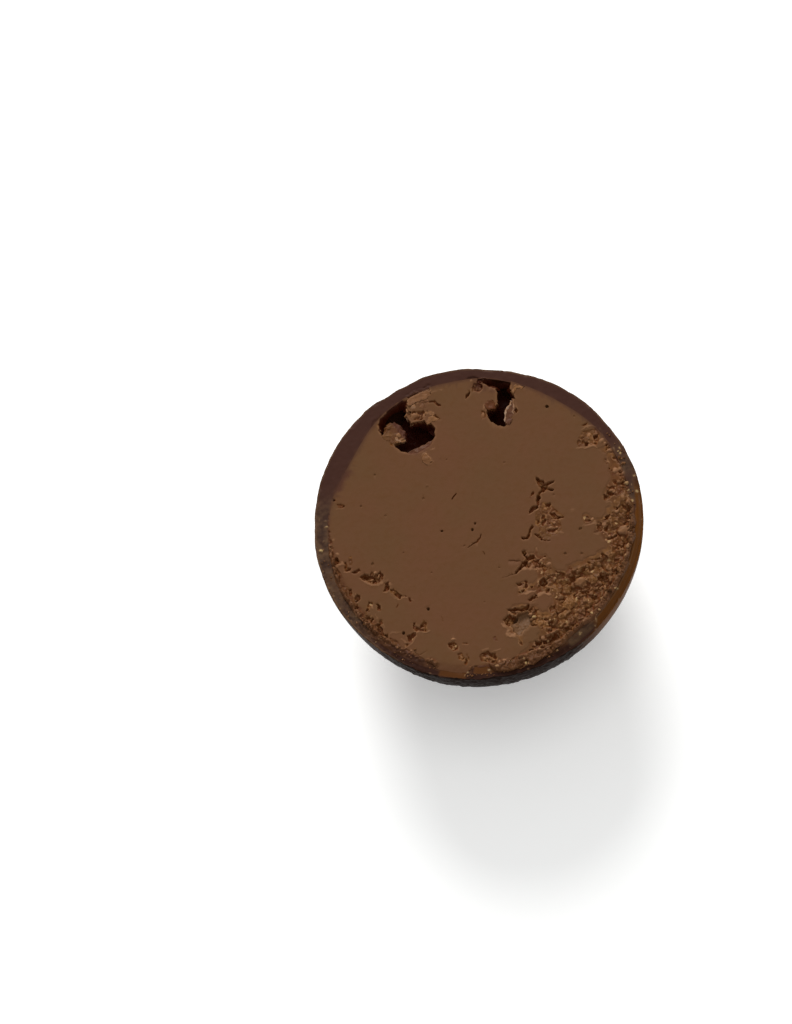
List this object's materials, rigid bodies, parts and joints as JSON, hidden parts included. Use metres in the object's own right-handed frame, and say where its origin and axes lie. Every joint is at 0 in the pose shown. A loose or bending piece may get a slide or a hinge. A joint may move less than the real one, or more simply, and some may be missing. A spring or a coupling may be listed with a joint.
{
  "type": "half chocolate praline",
  "caption": "Round chocolate praline cut in half, cut face up: a dark chocolate coat around a ball of soft milk ganache with torn, crumbly patches and piping holes.",
  "frame": {"origin": "middle of the small flat foot under the round back, on the surface that the half lies on", "axes": "+Z up, out of the cut face; on the cut face, seen from above, +X is right and +Y is up as in the picture"},
  "size_m": [0.028, 0.028, 0.0138],
  "materials": {
    "dark_chocolate": "dipped dark chocolate: glossy and orange-brown outside with faint bloom and scuffs, matt and grey-brown where it is cut",
    "milk_ganache": "milk chocolate ganache: smooth and matt where the knife passed, torn and crumbly elsewhere"
  },
  "bodies": {
    "root": {"chocolate_coat": "dark_chocolate", "ganache_filling": "milk_ganache"}
  },
  "joints": []
}
